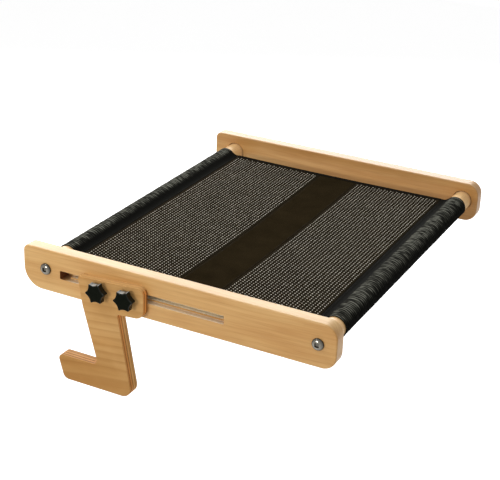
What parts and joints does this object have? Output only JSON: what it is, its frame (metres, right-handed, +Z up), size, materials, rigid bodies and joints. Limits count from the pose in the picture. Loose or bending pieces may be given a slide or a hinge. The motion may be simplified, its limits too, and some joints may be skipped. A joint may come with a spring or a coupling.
{
  "type": "cat window perch",
  "caption": "Sling bed for a window sill: slotted wooden rails joined by dowels carry a mesh cloth, with hook brackets that slide along the rails and clamp with star knobs.",
  "frame": {"origin": "midway between the two rails, at their mid-length, in the plane of their undersides, which rest on the window sill", "axes": "+Z up, +X along the rails from the window end to the room end, Y along the dowels"},
  "size_m": [0.454, 0.5926, 0.179],
  "materials": {
    "pine_rail": "satin lacquer",
    "dowel_wood": "bare sanded",
    "plywood": "satin lacquer",
    "zinc_steel": "bright zinc",
    "insert_brass": "plain",
    "knob_plastic": "gloss",
    "sleeve_cloth": "ribbed weave",
    "mesh_cloth": "open mesh weave",
    "band_cloth": "plain weave"
  },
  "bodies": {
    "perch": {"front_rail": "pine_rail", "front_window_bolt": "zinc_steel", "front_window_dowel_insert": "insert_brass", "front_room_bolt": "zinc_steel", "front_room_dowel_insert": "insert_brass", "back_rail": "pine_rail", "back_window_bolt": "zinc_steel", "back_window_dowel_insert": "insert_brass", "back_room_bolt": "zinc_steel", "back_room_dowel_insert": "insert_brass", "window_dowel": "dowel_wood", "room_dowel": "dowel_wood", "window_sleeve": "sleeve_cloth", "room_sleeve": "sleeve_cloth", "window_mesh_panel": "mesh_cloth", "centre_band": "band_cloth", "room_mesh_panel": "mesh_cloth"},
    "front_bracket": {"front_bracket_plate": "plywood", "front_window_stud": "zinc_steel", "front_room_stud": "zinc_steel"},
    "front_window_washer_carrier": {"front_window_washer": "zinc_steel"},
    "front_window_knob_body": {"front_window_knob": "knob_plastic", "front_window_knob_insert": "insert_brass"},
    "front_room_washer_carrier": {"front_room_washer": "zinc_steel"},
    "front_room_knob_body": {"front_room_knob": "knob_plastic", "front_room_knob_insert": "insert_brass"},
    "back_bracket": {"back_bracket_plate": "plywood", "back_window_stud": "zinc_steel", "back_room_stud": "zinc_steel"},
    "back_window_washer_carrier": {"back_window_washer": "zinc_steel"},
    "back_window_knob_body": {"back_window_knob": "knob_plastic", "back_window_knob_insert": "insert_brass"},
    "back_room_washer_carrier": {"back_room_washer": "zinc_steel"},
    "back_room_knob_body": {"back_room_knob": "knob_plastic", "back_room_knob_insert": "insert_brass"}
  },
  "joints": [
    {"name": "front_bracket_slide", "type": "slide", "parent": "perch", "child": "front_bracket", "axis": [1, 0, 0], "range_m": [-0.05, 0.123]},
    {"name": "front_window_knob_travel", "type": "slide", "parent": "front_bracket", "child": "front_window_washer_carrier", "axis": [0, -1, 0], "range_m": [0, 0.003]},
    {"name": "front_window_knob_turn", "type": "hinge", "parent": "front_window_washer_carrier", "child": "front_window_knob_body", "pos_m": [-0.0997, -0.2848, 0.0285], "axis": [0, -1, 0], "range_deg": [0, 1080]},
    {"name": "front_room_knob_travel", "type": "slide", "parent": "front_bracket", "child": "front_room_washer_carrier", "axis": [0, -1, 0], "range_m": [0, 0.003]},
    {"name": "front_room_knob_turn", "type": "hinge", "parent": "front_room_washer_carrier", "child": "front_room_knob_body", "pos_m": [-0.0577, -0.2848, 0.0285], "axis": [0, -1, 0], "range_deg": [0, 1080]},
    {"name": "back_bracket_slide", "type": "slide", "parent": "perch", "child": "back_bracket", "axis": [1, 0, 0], "range_m": [-0.05, 0.123]},
    {"name": "back_window_knob_travel", "type": "slide", "parent": "back_bracket", "child": "back_window_washer_carrier", "axis": [0, 1, 0], "range_m": [0, 0.003]},
    {"name": "back_window_knob_turn", "type": "hinge", "parent": "back_window_washer_carrier", "child": "back_window_knob_body", "pos_m": [-0.0997, 0.2848, 0.0285], "axis": [0, 1, 0], "range_deg": [0, 1080]},
    {"name": "back_room_knob_travel", "type": "slide", "parent": "back_bracket", "child": "back_room_washer_carrier", "axis": [0, 1, 0], "range_m": [0, 0.003]},
    {"name": "back_room_knob_turn", "type": "hinge", "parent": "back_room_washer_carrier", "child": "back_room_knob_body", "pos_m": [-0.0577, 0.2848, 0.0285], "axis": [0, 1, 0], "range_deg": [0, 1080]}
  ],
  "couplings": [
    {"joint": "front_window_knob_travel", "follows": "front_window_knob_turn", "m_per_rad": 0.00015915},
    {"joint": "front_room_knob_travel", "follows": "front_room_knob_turn", "m_per_rad": 0.00015915},
    {"joint": "back_window_knob_travel", "follows": "back_window_knob_turn", "m_per_rad": 0.00015915},
    {"joint": "back_room_knob_travel", "follows": "back_room_knob_turn", "m_per_rad": 0.00015915}
  ]
}
